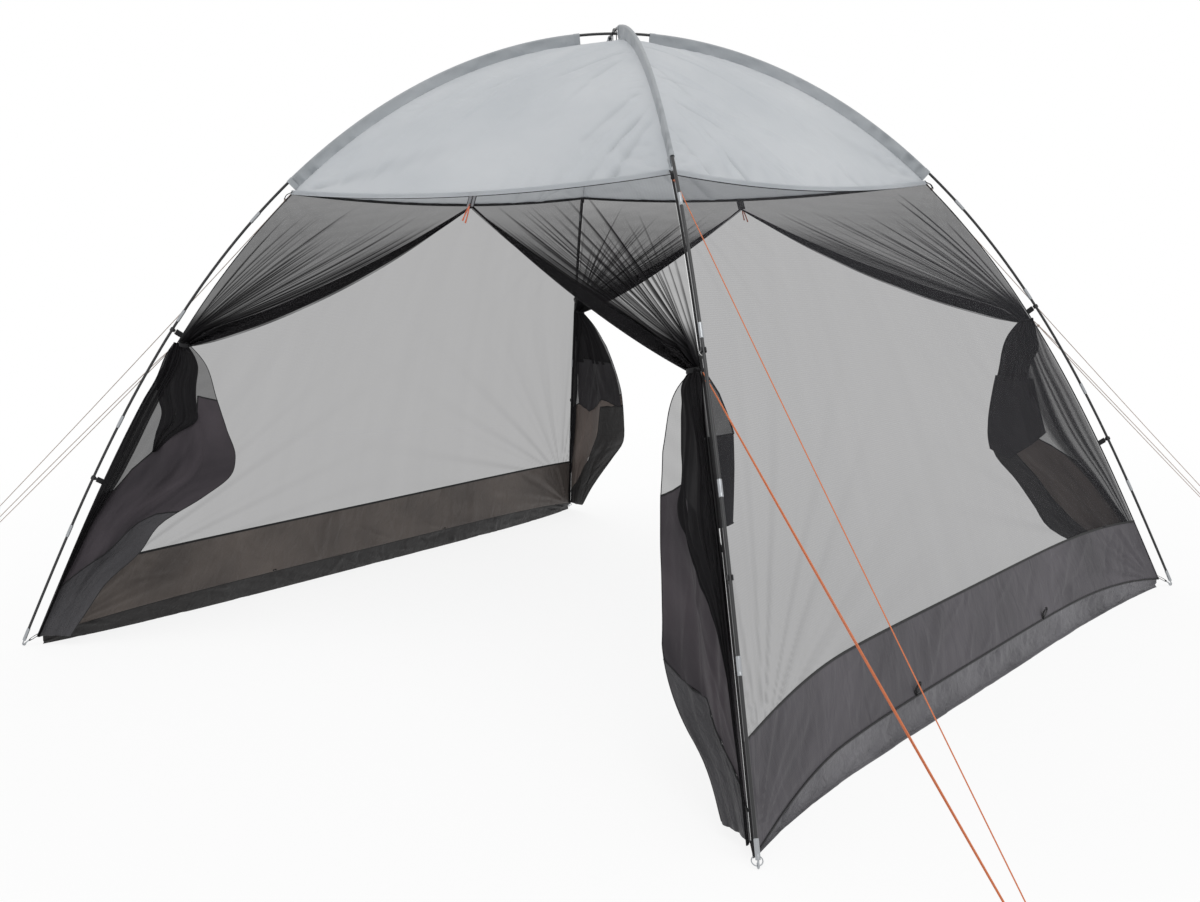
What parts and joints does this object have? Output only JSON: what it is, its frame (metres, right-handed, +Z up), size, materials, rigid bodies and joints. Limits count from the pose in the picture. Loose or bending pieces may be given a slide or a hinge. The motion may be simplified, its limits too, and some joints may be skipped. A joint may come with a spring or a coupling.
{
  "type": "mosquito net tent",
  "caption": "Square net shelter: two crossing arch poles outside, domed canopy in ridge sleeves, net walls, two doors with curtains tied back, mud flaps, guy lines.",
  "frame": {"origin": "centre of the square footprint, on the ground", "axes": "+Z up; -Y out of the front door, +Y out of the rear door, +X and -X out of the two closed walls"},
  "size_m": [4.7622, 4.1624, 2.1214],
  "materials": {
    "pole_rod": "black glass-fibre rod with bright steel ferrules",
    "steel_wire": "bright drawn steel wire",
    "canopy_fabric": "light cool grey coated woven polyester",
    "insect_net": "fine charcoal mosquito netting",
    "band_fabric": "dark grey woven polyester",
    "flap_fabric": "mid grey thin coated cloth, creased",
    "clip_plastic": "black moulded plastic",
    "zip_metal": "black painted die-cast zip slider",
    "pull_cord": "orange braided cord",
    "guy_cord": "orange braided guy cord",
    "tie_cord": "black cord"
  },
  "bodies": {
    "tent": {"front_right_pole_section_1": "pole_rod", "front_right_pole_section_2": "pole_rod", "front_right_pole_section_3": "pole_rod", "front_right_pole_section_4": "pole_rod", "front_right_pole_sleeve": "canopy_fabric", "front_right_corner_pin": "steel_wire", "front_right_door_curtain": "insect_net", "front_right_upper_clip": "clip_plastic", "front_right_lower_clip": "clip_plastic", "front_left_pole_section_1": "pole_rod", "front_left_pole_section_2": "pole_rod", "front_left_pole_section_3": "pole_rod", "front_left_pole_section_4": "pole_rod", "front_left_pole_sleeve": "canopy_fabric", "front_left_corner_pin": "steel_wire", "front_left_door_curtain": "insect_net", "front_left_upper_clip": "clip_plastic", "front_left_lower_clip": "clip_plastic", "rear_right_pole_section_1": "pole_rod", "rear_right_pole_section_2": "pole_rod", "rear_right_pole_section_3": "pole_rod", "rear_right_pole_section_4": "pole_rod", "rear_right_pole_sleeve": "canopy_fabric", "rear_right_corner_pin": "steel_wire", "rear_right_door_curtain": "insect_net", "rear_right_upper_clip": "clip_plastic", "rear_right_lower_clip": "clip_plastic", "rear_left_pole_section_1": "pole_rod", "rear_left_pole_section_2": "pole_rod", "rear_left_pole_section_3": "pole_rod", "rear_left_pole_section_4": "pole_rod", "rear_left_pole_sleeve": "canopy_fabric", "rear_left_corner_pin": "steel_wire", "rear_left_door_curtain": "insect_net", "rear_left_upper_clip": "clip_plastic", "rear_left_lower_clip": "clip_plastic", "crown_pole_front_right_to_rear_left": "pole_rod", "crown_pole_front_left_to_rear_right": "pole_rod", "canopy": "canopy_fabric", "apex_tie": "tie_cord", "right_wall_net": "insect_net", "right_wall_band": "band_fabric", "right_mud_flap": "flap_fabric", "left_wall_net": "insect_net", "left_wall_band": "band_fabric", "left_mud_flap": "flap_fabric", "front_right_upper_guy_line": "guy_cord", "front_right_lower_guy_line": "guy_cord", "front_left_upper_guy_line": "guy_cord", "front_left_lower_guy_line": "guy_cord", "rear_right_upper_guy_line": "guy_cord", "rear_right_lower_guy_line": "guy_cord"},
    "front_right_ring": {"front_right_corner_ring": "steel_wire"},
    "front_left_ring": {"front_left_corner_ring": "steel_wire"},
    "rear_right_ring": {"rear_right_corner_ring": "steel_wire"},
    "rear_left_ring": {"rear_left_corner_ring": "steel_wire"},
    "front_slider": {"front_zip_slider": "zip_metal"},
    "front_pull": {"front_zip_pull": "pull_cord"},
    "rear_slider": {"rear_zip_slider": "zip_metal"},
    "rear_pull": {"rear_zip_pull": "pull_cord"}
  },
  "joints": [
    {"name": "front_right_ring_hinge", "type": "hinge", "parent": "tent", "child": "front_right_ring", "pos_m": [1.52769, -1.52769, 0.007], "axis": [-0.7071, -0.7071, 0], "range_deg": [-14, 25]},
    {"name": "front_left_ring_hinge", "type": "hinge", "parent": "tent", "child": "front_left_ring", "pos_m": [-1.52771, -1.52771, 0.007], "axis": [-0.7071, 0.7071, 0], "range_deg": [-14, 25]},
    {"name": "rear_right_ring_hinge", "type": "hinge", "parent": "tent", "child": "rear_right_ring", "pos_m": [1.52771, 1.52771, 0.007], "axis": [0.7071, -0.7071, 0], "range_deg": [-14, 25]},
    {"name": "rear_left_ring_hinge", "type": "hinge", "parent": "tent", "child": "rear_left_ring", "pos_m": [-1.52769, 1.52769, 0.007], "axis": [0.7071, 0.7071, 0], "range_deg": [-14, 25]},
    {"name": "front_zip_slide", "type": "slide", "parent": "tent", "child": "front_slider", "axis": [0, 0.4068, 0.9135], "range_m": [0, 0.022]},
    {"name": "front_pull_hinge", "type": "hinge", "parent": "front_slider", "child": "front_pull", "pos_m": [0.055, -0.82514, 1.50427], "axis": [-1, 0, 0], "range_deg": [0, 150]},
    {"name": "rear_zip_slide", "type": "slide", "parent": "tent", "child": "rear_slider", "axis": [0, -0.4068, 0.9135], "range_m": [0, 0.022]},
    {"name": "rear_pull_hinge", "type": "hinge", "parent": "rear_slider", "child": "rear_pull", "pos_m": [0, 0.82514, 1.50368], "axis": [1, 0, 0], "range_deg": [0, 150]}
  ]
}
